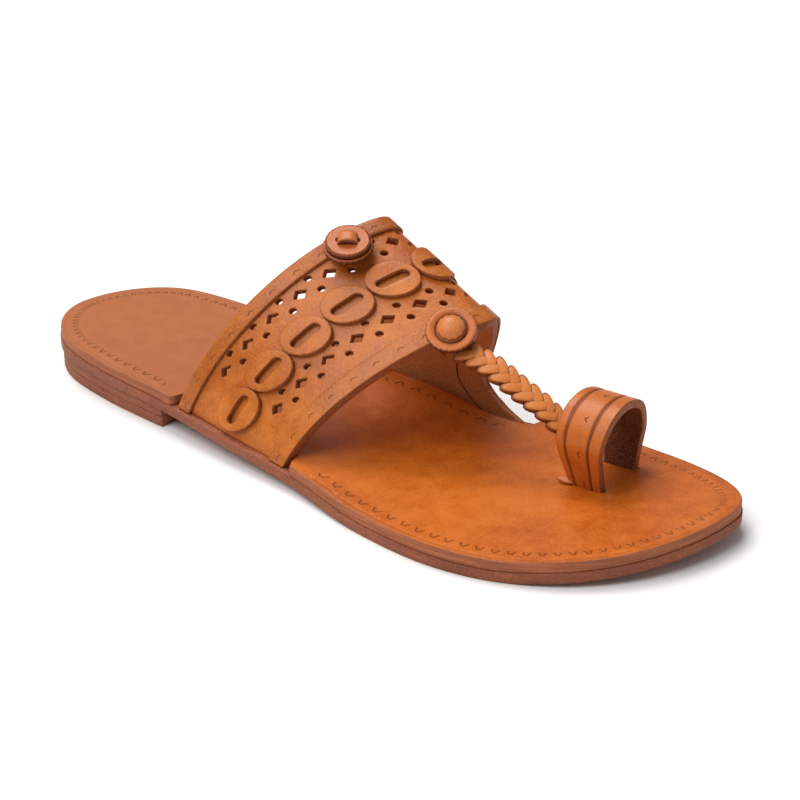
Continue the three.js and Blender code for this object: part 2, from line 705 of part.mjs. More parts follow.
const { back, front } = ROSETTES;
const rosetteSeat = STRIP_TOP + CURVED_GAP;
const upperSeat = rosetteSeat + back.thickness + GAP;
const knotSeat = upperSeat + back.thickness + GAP;
const buttonSeat = rosetteSeat + front.thickness + GAP;
const tiedDisc = easedDisc(back.radius, back.thickness, TIE_FOOT);
addPiece("back_rosette_lower", seated(tiedDisc, back, rosetteSeat), TAN);
addPiece("back_rosette_upper", seated(easedDisc(UPPER_DISC_RADIUS, back.thickness), back, upperSeat), TAN);
addPiece("back_rosette_knot", seated(thongKnot(), back, knotSeat), BRAID_TAN);
addPiece("front_rosette", seated(easedDisc(front.radius, front.thickness), front, rosetteSeat), TAN);
addPiece("front_rosette_button", seated(domedButton(BUTTON.radius, BUTTON.height), front, buttonSeat), TAN);
addPiece("braided_thong", braidedThong(), BRAID_TAN);
addPiece("toe_ring", toeRing(), TAN);

// The box around the sandal is centred over the origin.
const box = new THREE.Box3().setFromObject(sandal, true);
const middle = box.getCenter(new THREE.Vector3());
sandal.position.set(-middle.x, -middle.y, -box.min.z);

export default sandal;
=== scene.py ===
import bisect
import math

import bmesh
import bpy
from mathutils import Matrix, Vector


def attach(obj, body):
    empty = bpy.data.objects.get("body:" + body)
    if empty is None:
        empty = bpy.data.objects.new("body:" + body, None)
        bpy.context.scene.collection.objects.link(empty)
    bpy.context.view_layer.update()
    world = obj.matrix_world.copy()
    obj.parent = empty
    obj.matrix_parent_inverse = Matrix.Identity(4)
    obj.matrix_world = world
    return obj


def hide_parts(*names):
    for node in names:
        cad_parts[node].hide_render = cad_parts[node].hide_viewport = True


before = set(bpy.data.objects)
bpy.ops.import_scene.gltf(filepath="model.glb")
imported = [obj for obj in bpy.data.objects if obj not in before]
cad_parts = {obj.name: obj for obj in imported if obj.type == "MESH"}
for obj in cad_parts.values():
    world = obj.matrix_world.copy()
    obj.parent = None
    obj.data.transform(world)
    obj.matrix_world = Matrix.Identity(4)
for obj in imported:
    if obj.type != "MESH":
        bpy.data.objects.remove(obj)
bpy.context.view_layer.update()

# The heel: two lifts of thick sole leather under the back of the sole, glued one on the other and
# pared flush. Their raw edges are burnished and show the fibres of the hide.
MM = 0.001
LENGTH, BALL = 260.0, 93.0
HALF = LENGTH / 2
HEEL = 7.4
ARCH = 4.0
TOE = 5.0
OUTSOLE, INSOLE = 3.3, 2.9
INSOLE_BED = 0.5
LAYER_GAP = 0.08
WELD = 1e-4
FOREFOOT_PRESS = -0.2
OUTLINE = [
    (-0.5, 0.113, 0.113), (-0.431, -0.167, 0.435), (-0.327, -0.253, 0.478), (-0.212, -0.296, 0.452),
    (-0.096, -0.349, 0.42), (0.019, -0.392, 0.435), (0.135, -0.468, 0.45), (0.25, -0.5, 0.5),
    (0.346, -0.441, 0.473), (0.431, -0.28, 0.403), (0.5, 0.188, 0.188),
]
UNDERSIDE = [
    (-0.5, HEEL), (-0.365, HEEL), (-0.231, 0.92 * HEEL), (-0.115, 0.73 * HEEL), (0, 0.42 * HEEL),
    (0.115, 0.07 * HEEL), (0.17, FOREFOOT_PRESS), (0.3, FOREFOOT_PRESS), (0.365, 0.16 * TOE),
    (0.431, 0.48 * TOE), (0.5, TOE),
]
CURL = [(-0.23, 0), (-0.14, 0.8), (-0.04, 1), (0.045, 0.95), (0.085, 0.6), (0.115, 0.15), (0.14, 0)]


def lerp(a, b, share):
    return a + (b - a) * share


def smooth_through(places, values):
    """A smooth curve through a few measured places."""
    rises = [(b - a) / (q - p) for p, q, a, b in zip(places, places[1:], values, values[1:])]
    leans = [rises[0]] + [(a + b) / 2 for a, b in zip(rises, rises[1:])] + [rises[-1]]

    def at(place):
        place = min(max(place, places[0]), places[-1])
        i = min(bisect.bisect_right(places, place), len(places) - 1) - 1
        step = places[i + 1] - places[i]
        p = (place - places[i]) / step
        rise = values[i + 1] - values[i]
        m, n = leans[i] * step, leans[i + 1] * step
        return values[i] + p * (m + p * (3 * rise - 2 * m - n + p * (m + n - 2 * rise)))

    return at


def angle_at(x):
    return math.acos(min(1, max(-1, -x / HALF)))


outer_edge = smooth_through([angle_at(r[0] * LENGTH) for r in OUTLINE], [r[1] * BALL for r in OUTLINE])
inner_edge = smooth_through([angle_at(r[0] * LENGTH) for r in OUTLINE], [r[2] * BALL for r in OUTLINE])
underside = smooth_through([r[0] * LENGTH for r in UNDERSIDE], [r[1] for r in UNDERSIDE])
arch_curl = smooth_through([r[0] * LENGTH for r in CURL], [r[1] * ARCH for r in CURL])


def sole_bottom(x, y):
    outer, inner = outer_edge(angle_at(x)), inner_edge(angle_at(x))
    across = min(1.1, (y - outer) / (inner - outer + 0.001))
    return max(0, underside(x)) + max(0, arch_curl(x)) * max(0, 2 * across - 1) ** 2


def sole_top(x, y):
    return sole_bottom(x, y) + OUTSOLE


def insole_top(x, y):
    return sole_top(x, y) + INSOLE_BED + INSOLE


def sole_loop(count):
    """The sole's edge in plan, from the heel along the little-toe side and back along the other."""
    points = []
    for i in range(count):
        turn = 2 * math.pi * i / count
        angle = min(turn, 2 * math.pi - turn)
        edge = outer_edge if turn <= math.pi else inner_edge
        points.append(Vector((-HALF * math.cos(angle), edge(angle))))
    return points


def draw_in(points, distance):
    """The same closed loop, moved inwards everywhere by one distance."""
    moved = []
    for before, point, after in zip(points[-1:] + points[:-1], points, points[1:] + points[:1]):
        along = (after - before).normalized()
        moved.append(point + Vector((-along.y, along.x)) * distance)
    return moved


def cut_leather(loops, cell_x, cell_y):
    """Cuts a flat piece from the hide: the first loop is its outline and the others are punched out."""
    bm = bmesh.new()
    for loop in loops:
        ring = bmesh.ops.create_circle(bm, segments=len(loop), radius=1)["verts"]
        for vert, point in zip(ring, loop):
            vert.co = (point[0], point[1], 0)
    bmesh.ops.triangle_fill(bm, use_beauty=True, edges=bm.edges[:], normal=(0, 0, 1))
    rule_cells(bm, bm.verts[:], 0, cell_x)
    rule_cells(bm, bm.verts[:], 1, cell_y)
    return bm


def rule_cells(bm, verts, axis, cell):
    low = min(v.co[axis] for v in verts)
    high = max(v.co[axis] for v in verts)
    for i in range(1, math.ceil((high - low) / cell)):
        place, facing = Vector(), Vector()
        place[axis], facing[axis] = low + i * cell, 1
        everything = bm.verts[:] + bm.edges[:] + bm.faces[:]
        bmesh.ops.bisect_plane(bm, geom=everything, dist=WELD, plane_co=place, plane_no=facing)


def give_thickness(bm, thickness, ease):
    """Adds the flesh side and the cut edges, eased round at both rims, and notes which is which."""
    cut = bm.verts.layers.float.new("cut")
    flesh = bm.verts.layers.float.new("flesh")
    faces = bm.faces[:]
    ring = [e for e in bm.edges if e.is_boundary]
    out = {}
    for edge in ring:
        a, b = edge.verts
        push = (b.co - a.co).cross(Vector((0, 0, 1))).normalized()
        if push.dot(a.co - edge.link_faces[0].calc_center_median()) < 0:
            push.negate()
        for vert in edge.verts:
            out[vert] = out.get(vert, Vector()) + push
    under = bmesh.ops.duplicate(bm, geom=faces)["geom"]
    under_verts = [g for g in under if isinstance(g, bmesh.types.BMVert)]
    bmesh.ops.translate(bm, verts=under_verts, vec=(0, 0, -thickness))
    bmesh.ops.reverse_faces(bm, faces=[g for g in under if isinstance(g, bmesh.types.BMFace)])
    for vert in under_verts:
        vert[flesh] = 1
    origin = {v: v for v in out}
    low = thickness - ease
    for share, drop in ((0.7, 0.3 * ease), (1, ease), (1, low), (0.7, low + 0.7 * ease), (0, thickness)):
        grown = bmesh.ops.extrude_edge_only(bm, edges=ring)["geom"]
        fresh = {g for g in grown if isinstance(g, bmesh.types.BMVert)}
        ring = [g for g in grown if isinstance(g, bmesh.types.BMEdge) and set(g.verts) <= fresh]
        for vert in fresh:
            before = next(e.other_vert(vert) for e in vert.link_edges if e.other_vert(vert) not in fresh)
            origin[vert] = origin[before]
            away = out[origin[vert]].normalized() * ease * share
            vert.co = origin[vert].co + away - Vector((0, 0, drop))
            vert[cut] = 1
            vert[flesh] = 0
    bmesh.ops.remove_doubles(bm, verts=bm.verts[:], dist=WELD)


def lay_between(bm, thickness, bottom, top):
    """Lays a flat layer on the last, between two heights."""
    for vert in bm.verts:
        x, y, z = vert.co
        vert.co = Vector((x, y, lerp(bottom(x, y), top(x, y), 1 + z / thickness))) * MM


def make_piece(name, bm, material, node):
    """Turns a finished mesh into a piece that rides the sandal and stands in for its solid."""
    bmesh.ops.recalc_face_normals(bm, faces=bm.faces[:])
    for face in bm.faces:
        face.smooth = True
    mesh = bpy.data.meshes.new(name)
    bm.to_mesh(mesh)
    bm.free()
    mesh.materials.append(material)
    piece = bpy.data.objects.new(name, mesh)
    bpy.context.scene.collection.objects.link(piece)
    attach(piece, "root")
    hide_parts(node)


def dye(red, green, blue):
    """A colour as the eye reads it, 0 to 255, turned to light."""
    return tuple(((c / 255 + 0.055) / 1.055) ** 2.4 for c in (red, green, blue)) + (1,)


class Recipe:
    """A material's node tree, with short ways to add to it."""

    def __init__(self, name):
        self.material = bpy.data.materials.new(name)
        self.material.use_nodes = True
        self.tree = self.material.node_tree
        self.shader = self.tree.nodes["Principled BSDF"]
        self.place = self.tree.nodes.new("ShaderNodeTexCoord").outputs["Object"]

    def put(self, socket, value):
        if isinstance(value, bpy.types.NodeSocket):
            self.tree.links.new(value, socket)
        else:
            socket.default_value = value

    def math(self, operation, a, b=0.0):
        node = self.tree.nodes.new("ShaderNodeMath")
        node.operation = operation
        self.put(node.inputs[0], a)
        self.put(node.inputs[1], b)
        return node.outputs[0]

    def spread(self, value, low, high, to_low=0.0, to_high=1.0):
        node = self.tree.nodes.new("ShaderNodeMapRange")
        node.interpolation_type = "SMOOTHSTEP"
        sockets = ("Value", "From Min", "From Max", "To Min", "To Max")
        for socket, given in zip(sockets, (value, low, high, to_low, to_high)):
            self.put(node.inputs[socket], given)
        return node.outputs[0]

    def noise(self, scale, detail=3.0, stretch=(1, 1, 1), rough=0.55):
        mapping = self.tree.nodes.new("ShaderNodeMapping")
        mapping.inputs["Scale"].default_value = stretch
        self.put(mapping.inputs["Vector"], self.place)
        node = self.tree.nodes.new("ShaderNodeTexNoise")
        self.put(node.inputs["Vector"], mapping.outputs[0])
        node.inputs["Scale"].default_value = scale
        node.inputs["Detail"].default_value = detail
        node.inputs["Roughness"].default_value = rough
        return node.outputs["Fac"]

    def pebble(self, scale):
        node = self.tree.nodes.new("ShaderNodeTexVoronoi")
        self.put(node.inputs["Vector"], self.place)
        node.inputs["Scale"].default_value = scale
        return node.outputs["Distance"]

    def measure(self, start, way):
        """How far along a direction a point lies from a start."""
        away = self.tree.nodes.new("ShaderNodeVectorMath")
        away.operation = "SUBTRACT"
        self.put(away.inputs[0], self.place)
        away.inputs[1].default_value = start
        along = self.tree.nodes.new("ShaderNodeVectorMath")
        along.operation = "DOT_PRODUCT"
        self.put(along.inputs[0], away.outputs[0])
        along.inputs[1].default_value = way
        return along.outputs["Value"]

    def note(self, name):
        node = self.tree.nodes.new("ShaderNodeAttribute")
        node.attribute_name = name
        return node.outputs["Fac"]

    def blend(self, *parts):
        """Adds up values, each with its weight."""
        total = None
        for value, weight in parts:
            part = self.math("MULTIPLY", value, weight)
            total = part if total is None else self.math("ADD", total, part)
        return total

    def mix(self, share, a, b):
        node = self.tree.nodes.new("ShaderNodeMix")
        node.data_type = "RGBA"
        self.put(node.inputs[0], share)
        self.put(node.inputs[6], a)
        self.put(node.inputs[7], b)
        return node.outputs[2]

    def bump(self, height, depth, strength=1.0):
        node = self.tree.nodes.new("ShaderNodeBump")
        node.inputs["Strength"].default_value = strength
        node.inputs["Distance"].default_value = depth
        self.put(node.inputs["Height"], height)
        self.put(self.shader.inputs["Normal"], node.outputs[0])

    def finish(self, colour, roughness):
        self.put(self.shader.inputs["Base Color"], colour)
        self.put(self.shader.inputs["Roughness"], roughness)
        return self.material


def sole_leather(name, light, dark, line):
    """Raw sole leather: long fibres that run along the edge, with darker burnished lines."""
    recipe = Recipe(name)
    fibres = recipe.noise(55, 6, (1, 1, 26), 0.7)
    blotch = recipe.noise(38, 3)
    fine = recipe.noise(1400, 3)
    colour = recipe.mix(recipe.spread(fibres, 0.34, 0.66), dark, light)
    colour = recipe.mix(recipe.math("MULTIPLY", recipe.spread(blotch, 0.45, 0.7), 0.5), colour, line)
    colour = recipe.mix(recipe.math("MULTIPLY", recipe.spread(fine, 0.42, 0.68), 0.55), colour, line)
    recipe.bump(recipe.blend((fibres, 0.8), (fine, 0.25)), depth=0.0009, strength=0.8)
    recipe.shader.inputs["Specular IOR Level"].default_value = 0.35
    return recipe.finish(colour, recipe.spread(fibres, 0.3, 0.7, 0.5, 0.75))


HEEL_BREAST = -57.0
HEEL_STEPS, HEEL_PARED, HEEL_EASE, HEEL_CELL = 360, 0.9, 0.25, 6
LIFT = HEEL / 2
lift_leather = sole_leather("lift_leather", dye(170, 98, 66), dye(142, 78, 52), dye(108, 54, 34))


def heel_loop():
    """The heel in plan: the back of the sole's edge, pared in, and straight across at the breast."""
    loop = draw_in(sole_loop(HEEL_STEPS), HEEL_PARED)
    inner_corner = next(i for i, p in enumerate(loop) if p.x > HEEL_BREAST)
    outer_part = loop[:inner_corner]
    inner_part = [p for p in loop[HEEL_STEPS // 2:] if p.x <= HEEL_BREAST]
    corners = [Vector((HEEL_BREAST, p.y)) for p in (outer_part[-1], inner_part[0])]
    return outer_part + corners + inner_part


def heel_lift(level, thickness, bottom, top):
    bm = cut_leather([heel_loop()], HEEL_CELL, HEEL_CELL)
    give_thickness(bm, thickness, HEEL_EASE)
    lay_between(bm, thickness, bottom, top)
    make_piece(f"pared_heel_lift_{level}", bm, lift_leather, f"heel_lift_{level}")


heel_lift("lower", LIFT, lambda x, y: 0.0, lambda x, y: LIFT - LAYER_GAP / 2)
heel_lift("upper", LIFT, lambda x, y: LIFT + LAYER_GAP / 2, lambda x, y: sole_bottom(x, y) - LAYER_GAP)

# The outsole: one thick layer of sole leather from heel to toe, shaped wet so that it follows the
# last, rises at the toe and curls up beside the arch. Its edge is left as cut and burnished.
outsole_leather = sole_leather("outsole_leather", dye(174, 100, 66), dye(146, 80, 52), dye(110, 56, 34))
OUTSOLE_STEPS, SOLE_EASE, OUTSOLE_CELL = 420, 0.2, 4
bm = cut_leather([draw_in(sole_loop(OUTSOLE_STEPS), SOLE_EASE)], OUTSOLE_CELL, OUTSOLE_CELL)
give_thickness(bm, OUTSOLE, SOLE_EASE)
lay_between(bm, OUTSOLE, sole_bottom, sole_top)
make_piece("pared_outsole", bm, outsole_leather, "outsole")

# The insole: smooth tanned leather glued over the outsole, cut back where the band goes down beside
# it and slit for the toe ring. A fine groove and a row of small stamped marks follow its edge, and
# wear has left a few faint creases on the forefoot.
BAND_WALL, BAND_WIDTH, BAND_INSET = 2.8, 48.5, 2.0
NOTCH_DEPTH, NOTCH_SLOPE = 7.7, 2.0
OUTER_NOTCH, INNER_NOTCH = (-49.3, 3.2), (-31.0, 46.6)
EDGE_STEPS = [(1.2, 0.0), (1.6, 0.1), (2.0, 0.0), (3.4, 0.0), (7.6, 0.0)]
INSOLE_STEPS, INSOLE_PARED, INSOLE_CELL = 720, 0.6, 3.5
CORNER_REACH, CORNER_RAMP, CORNER_BARE = 0.12, 12, 0.7
MARK_PITCH, MARK_ROW = 4.8, 5.0
NO_MARK = 100
SLIT_SHARES = (0.02, 0.98)
CREASES = [
    ((52, -27), (58, -5), 1.5), ((74, -38), (76, -26), -1.0), ((84, -25), (87, -8), 1.2),
    ((37, -22), (41, -6), -1.2),
]


def tanned_leather(name, light, dark, edge, raw, flesh, gloss):
    """Glossy vegetable-tanned leather: even dye, fine grain, burnished edges, painted shade and a fuzzy
    flesh side.
    """
    recipe = Recipe(name)
    clouds = recipe.noise(22, 2)
    mottle = recipe.noise(150, 4)
    recipe.fuzz = recipe.noise(1300, 4)
    shade = recipe.blend((clouds, 0.4), (mottle, 0.3), (recipe.fuzz, 0.3))
    recipe.colour = recipe.mix(recipe.spread(shade, 0.36, 0.64), dark, light)
    # Darkens towards the edge colour by the burnish_and_shade note: burnished edges, and painted shade on
    # the braid, the knot and the turned discs.
    recipe.colour = recipe.mix(recipe.note("burnish_and_shade"), recipe.colour, edge)
    recipe.height = recipe.blend((recipe.pebble(1300), 0.3), (recipe.fuzz, 0.3))
    recipe.rough = recipe.spread(mottle, 0.3, 0.7, gloss - 0.05, gloss + 0.08)
    recipe.edge, recipe.raw, recipe.flesh = edge, raw, flesh
    return recipe


def stamp_marks(recipe, pitch, row, half, slope, reach, depth, shade):
    """A row of small stamped strokes in pairs, which lean together or apart."""
    share = recipe.math("FRACT", recipe.math("DIVIDE", recipe.note("run"), pitch))
    across = recipe.math("ABSOLUTE", recipe.math("MULTIPLY", recipe.math("SUBTRACT", share, 0.5), pitch))
    along = recipe.math("SUBTRACT", recipe.note("depth"), row)
    middle = recipe.math("ADD", recipe.math("MULTIPLY", along, slope), half)
    stroke = recipe.math("ABSOLUTE", recipe.math("SUBTRACT", across, middle))
    stroke = recipe.spread(stroke, 0.1, 0.45, 1.0, 0.0)
    ends = recipe.spread(recipe.math("ABSOLUTE", along), reach * 0.7, reach, 1.0, 0.0)
    stamp = recipe.math("MULTIPLY", stroke, ends)
    recipe.colour = recipe.mix(recipe.math("MULTIPLY", stamp, shade), recipe.colour, recipe.edge)
    recipe.height = recipe.math("SUBTRACT", recipe.height, recipe.math("MULTIPLY", stamp, depth))


def crease_leather(recipe, start, end, bow):
    """A faint bowed line that bending has left between two places on the sole."""
    start, end = Vector((*start, 0)) * MM, Vector((*end, 0)) * MM
    half = (end - start).length / 2
    way = (end - start).normalized()
    along = recipe.math("DIVIDE", recipe.measure((start + end) / 2, way), half)
    sag = recipe.math("MULTIPLY", recipe.math("MULTIPLY", along, along), bow * MM)
    away = recipe.math("SUBTRACT", recipe.measure(start, Vector((-way.y, way.x, 0))), sag)
    line = recipe.spread(recipe.math("ABSOLUTE", away), 0.0, 0.9 * MM, 1.0, 0.0)
    ends = recipe.spread(recipe.math("ABSOLUTE", along), 0.5, 1.0, 1.0, 0.0)
    line = recipe.math("MULTIPLY", line, ends)
    recipe.colour = recipe.mix(recipe.math("MULTIPLY", line, 0.1), recipe.colour, recipe.edge)
    recipe.height = recipe.math("SUBTRACT", recipe.height, recipe.math("MULTIPLY", line, 0.4))


def dress(recipe, fuzzy=0.3, fibre=(1, 1, 1)):
    """Lays the raw cut edges and the flesh side over the grain side and finishes the leather."""
    cut, inside = recipe.note("cut"), recipe.note("flesh")
    fibres = recipe.noise(1200 / fibre[2], 6, fibre, 0.7)
    nap = recipe.spread(recipe.fuzz, 0.25, 0.7)
    colour = recipe.mix(nap, recipe.mix(fuzzy, recipe.flesh, recipe.edge), recipe.flesh)
    colour = recipe.mix(inside, recipe.colour, colour)
    burnished = recipe.mix(0.5, recipe.raw, recipe.edge)
    edge = recipe.mix(recipe.spread(fibres, 0.35, 0.65), burnished, recipe.raw)
    colour = recipe.mix(cut, colour, edge)
    bare = recipe.math("MAXIMUM", cut, inside)
    fluff = recipe.math("MULTIPLY", recipe.math("MULTIPLY", recipe.fuzz, bare), 1.2)
    recipe.bump(recipe.math("ADD", recipe.height, fluff), depth=0.00028, strength=0.7)
    rough = recipe.math("ADD", recipe.rough, recipe.math("MULTIPLY", bare, 0.35))
    recipe.shader.inputs["Specular IOR Level"].default_value = 0.3
    recipe.shader.inputs["Coat Weight"].default_value = 0.05
    recipe.shader.inputs["Coat Roughness"].default_value = 0.25
    return recipe.finish(colour, rough)


def notch_share(point, notch):
    """1 beside a foot of the band, and 0 away from it."""
    into = min(1, max(0, (point.x - notch[0] + NOTCH_SLOPE) / NOTCH_SLOPE))
    return into - min(1, max(0, (point.x - notch[1]) / NOTCH_SLOPE))


def beside_band(point, outer):
    return notch_share(point, OUTER_NOTCH if outer else INNER_NOTCH)


def insole_loop():
    """The insole's edge in plan, from the waist on the outer side, and the side each point is on."""
    sides = [i < INSOLE_STEPS / 2 for i in range(INSOLE_STEPS)]
    moved = draw_in(sole_loop(INSOLE_STEPS), INSOLE_PARED)
    for i, outer in enumerate(sides):
        depth = (NOTCH_DEPTH - INSOLE_PARED) * beside_band(moved[i], outer)
        moved[i] = moved[i] + Vector((0, depth if outer else -depth))
    start = next(i for i, p in enumerate(moved) if p.x > -20)
    return moved[start:] + moved[:start], sides[start:] + sides[:start]


def near_notch(point, outer):
    """Small at the two corners of a notch, and 1 away from them."""
    low, high = OUTER_NOTCH if outer else INNER_NOTCH
    corners = (low - NOTCH_SLOPE / 2, high + NOTCH_SLOPE / 2)
    away = min(abs(point.x - corner) for corner in corners) - NOTCH_SLOPE / 2
    return min(1, CORNER_REACH + max(0, away) / CORNER_RAMP)


RING_SECTION = [
    (10, 4.2, 78.2, 88.6), (7, 13, 76.6, 89.4), (4.6, 23, 75, 90.4), (9.5, 31.2, 74.6, 91),
    (19, 34, 75, 91), (28.5, 30.6, 75.6, 90.8), (32.6, 22, 76.4, 90.2), (31.8, 13, 77.4, 89.4),
    (30.4, 4.2, 78.6, 88.8),
]
RING_WALL = 2.7
ring_steps = [i / (len(RING_SECTION) - 1) for i in range(len(RING_SECTION))]
ring_curves = [smooth_through(ring_steps, [row[k] for row in RING_SECTION]) for k in range(4)]
ring_y, ring_z, ring_rear, ring_front = ring_curves


def ring_point(share, across, lift):
    """A place on the toe ring: round it, across its width, and out of its outer face."""
    step = 0.004
    rise = ring_z(share + step) - ring_z(share - step)
    run = ring_y(share + step) - ring_y(share - step)
    size = math.hypot(rise, run)
    x = lerp(ring_rear(share), ring_front(share), across)
    return Vector((x, ring_y(share) - lift * rise / size, ring_z(share) + lift * run / size))


def ring_slit(share):
    """The slit in the insole that one end of the ring goes through."""
    corners = ((-0.02, 0.3), (1.02, 0.3), (1.02, -3), (-0.02, -3))
    return [ring_point(share, across, lift).xy for across, lift in corners]


bm = bmesh.new()
run_note, depth_note, burnish_and_shade = (bm.verts.layers.float.new(n) for n in ("run", "depth", "burnish_and_shade"))
edge_loop, edge_sides = insole_loop()
edge_length = sum((a - b).length for a, b in zip(edge_loop, edge_loop[1:] + edge_loop[:1]))
pitch_count = round(edge_length / MARK_PITCH)
rings = []
for inset, sink in [(0.0, 0.0)] + EDGE_STEPS:
    points = edge_loop
    if inset:
        reach = [near_notch(p, outer) for p, outer in zip(edge_loop, edge_sides)]
        moved = draw_in(edge_loop, inset)
        points = [a.lerp(b, share) for a, b, share in zip(edge_loop, moved, reach)]
    ring = bmesh.ops.create_circle(bm, segments=len(points), radius=1)["verts"]
    for i, (vert, point) in enumerate(zip(ring, points)):
        bare = near_notch(edge_loop[i], edge_sides[i]) < CORNER_BARE
        vert.co = (point.x, point.y, -sink if not bare else 0)
        vert[run_note] = i / len(points) * pitch_count * MARK_PITCH
        vert[depth_note] = NO_MARK if bare else inset
        vert[burnish_and_shade] = 0.3 if sink else 0.35 if inset < 1 else 0.0
    rings.append([e for v in ring for e in v.link_edges if e.verts[0] == v])
for outer_ring, inner_ring in zip(rings, rings[1:]):
    bmesh.ops.bridge_loops(bm, edges=outer_ring + inner_ring)
middle = rings[-1]
for share in SLIT_SHARES:
    slit = bmesh.ops.create_circle(bm, segments=4, radius=1)["verts"]
    for vert, point in zip(slit, ring_slit(share)):
        vert.co = (point.x, point.y, 0)
        vert[depth_note] = NO_MARK
    middle = middle + list({e for v in slit for e in v.link_edges})
bmesh.ops.triangle_fill(bm, use_beauty=True, edges=middle, normal=(0, 0, 1))
for axis in (0, 1):
    rule_cells(bm, bm.verts[:], axis, INSOLE_CELL)
give_thickness(bm, INSOLE, SOLE_EASE)
lay_between(bm, INSOLE, lambda x, y: sole_top(x, y) + LAYER_GAP, insole_top)
insole_recipe = tanned_leather(
    "insole_leather", dye(206, 108, 30), dye(174, 80, 18), dye(104, 50, 28), dye(178, 104, 68),
    dye(150, 90, 60), gloss=0.34,
)
toeward = insole_recipe.measure((0, 0, 0), (1, 0, 0))
heel_share = insole_recipe.spread(toeward, -0.055, 0.02, to_low=0.75, to_high=0.0)
insole_recipe.colour = insole_recipe.mix(heel_share, insole_recipe.colour, dye(172, 102, 60))
stamp_marks(insole_recipe, MARK_PITCH, MARK_ROW, half=0.75, slope=0.45, reach=1.15, depth=4.2, shade=0.3)
for start, end, bow in CREASES:
    crease_leather(insole_recipe, start, end, bow)
insole_leather = dress(insole_recipe, fibre=(1, 1, 22))
make_piece("stamped_insole", bm, insole_leather, "insole")

# The instep band: one wall of tanned leather, cut flat, punched with two rows of diamonds and pairs of
# round holes, then drawn wet over the last and fixed between the outsole and the insole at both feet.
ARCH_STEPS = 160
FOOT_DEPTH, FOOT_REACH = 2.0, 0.22
CENTRE = 0.485
BACK_ROW, DISC_ROW, FRONT_ROW = 9.5, 22.8, 33.7
DIAMOND_LONG, DIAMOND_SHORT, DIAMOND_PITCH, DIAMONDS_EACH_SIDE = 5.6, 4.8, 11.1, 5
HOLE_RADIUS, HOLE_OFFSET = 1.25, 2.9
GIRTH = 146.0
BAND_START = 0.0155
RIDGE_EASE = 0.055
FLARE_REACH, FLARE_POWER = 0.22, 1.3
LINING_SEAM = 39.5
BAND_TRIM, BAND_STEP, BAND_CELL, HOLE_STEPS = 0.2, 1.5, 1.6, 16
GIRTH_STEPS = 100


def arch_side(foot, ridge, full, lag):
    points = []
    for i in range(ARCH_STEPS + 1):
        turn = i / ARCH_STEPS * math.pi / 2
        away = 0 if i == ARCH_STEPS else math.cos(turn) ** (2 / full)
        up = math.sin(turn) ** (2 / full)
        points.append(Vector((0, lerp(ridge.y, foot.y, away), lerp(foot.z, ridge.z, up))))
    lengths = running_lengths(points)
    for point, length in zip(points, lengths):
        point.x = lerp(foot.x, ridge.x, (length / lengths[-1]) ** lag)
    return points


def running_lengths(points):
    lengths = [0.0]
    for a, b in zip(points, points[1:]):
        lengths.append(lengths[-1] + (b - a).length)
    return lengths


def flare_foot(points, flare):
    lengths = running_lengths(points)
    for point, length in zip(points, lengths):
        point.x += flare * max(0, 1 - length / lengths[-1] / FLARE_REACH) ** FLARE_POWER


def band_edge(outer_x, inner_x, flare, ridge, outer_shape, inner_shape):
    """One edge of the band over the instep, from the outer foot (0) to the inner (1)."""
    outer_y = outer_edge(angle_at(outer_x)) + BAND_INSET
    inner_y = inner_edge(angle_at(inner_x)) - BAND_INSET
    outer_foot = Vector((outer_x, outer_y, sole_top(outer_x, outer_y) - FOOT_DEPTH))
    inner_foot = Vector((inner_x - flare, inner_y, sole_top(inner_x, inner_y) - FOOT_DEPTH))
    inner_side = arch_side(inner_foot, ridge, *inner_shape)
    points = arch_side(outer_foot, ridge, *outer_shape) + inner_side[-2::-1]
    lengths = running_lengths(points)
    flare_foot(inner_side, flare)

    def on_edge(share):
        wanted = min(max(share, 0), 1) * lengths[-1]
        after = min(max(1, bisect.bisect_left(lengths, wanted)), len(lengths) - 1)
        part = (wanted - lengths[after - 1]) / (lengths[after] - lengths[after - 1])
        return points[after - 1].lerp(points[after], part)

    def eased(share):
        spread = max(0, min(RIDGE_EASE, share, 1 - share)) / 2
        taps = ((-2, 1), (-1, 2), (0, 3), (1, 2), (2, 1))
        return sum((on_edge(share + k * spread) * weight for k, weight in taps), Vector()) / 9

    return eased


back_edge = band_edge(-48.5, -30.0, 0.0, Vector((-3.5, 28.0, 69.2)), (1.69, 1.2), (2.2, 1.2))
front_edge = band_edge(1.0, 45.0, 27.0, Vector((44.0, 16.5, 48.2)), (1.5, 1.3), (2.1, 1.0))


def band_point(s, w):
    point = back_edge(s).lerp(front_edge(s), w)
    for end, edge, side in ((0, outer_edge, 1), (1, inner_edge, -1)):
        away = abs(s - end) / FOOT_REACH
        if away < 1:
            straight = back_edge(end).lerp(front_edge(end), w)
            y = edge(angle_at(straight.x)) + side * BAND_INSET
            settled = Vector((straight.x, y, sole_top(straight.x, y) - FOOT_DEPTH))
            point = point + (settled - straight) * (1 - away) ** 2
    return point


def band_frame(s, w):
    """Directions on the band: along its girth, across its width, and out of the leather."""
    along = (band_point(min(1, s + 0.006), w) - band_point(max(0, s - 0.006), w)).normalized()
    across = (band_point(s, w + 0.02) - band_point(s, w - 0.02)).normalized()
    out = across.cross(along).normalized()
    return along, along.cross(out).normalized(), out


def on_leather(s, w, lift):
    return band_point(s, w) + band_frame(s, w)[2] * lift


def girth_at(w):
    points = [band_point(i / GIRTH_STEPS, w) for i in range(GIRTH_STEPS + 1)]
    return running_lengths(points)[-1]


def width_at(s):
    return (front_edge(s) - back_edge(s)).length


girths = {row: girth_at(row / BAND_WIDTH) for row in (BACK_ROW, DISC_ROW, FRONT_ROW)}


def round_loop(x, y, radius, count):
    turns = [2 * math.pi * i / count for i in range(count)]
    return [(x + radius * math.cos(t), y + radius * math.sin(t)) for t in turns]


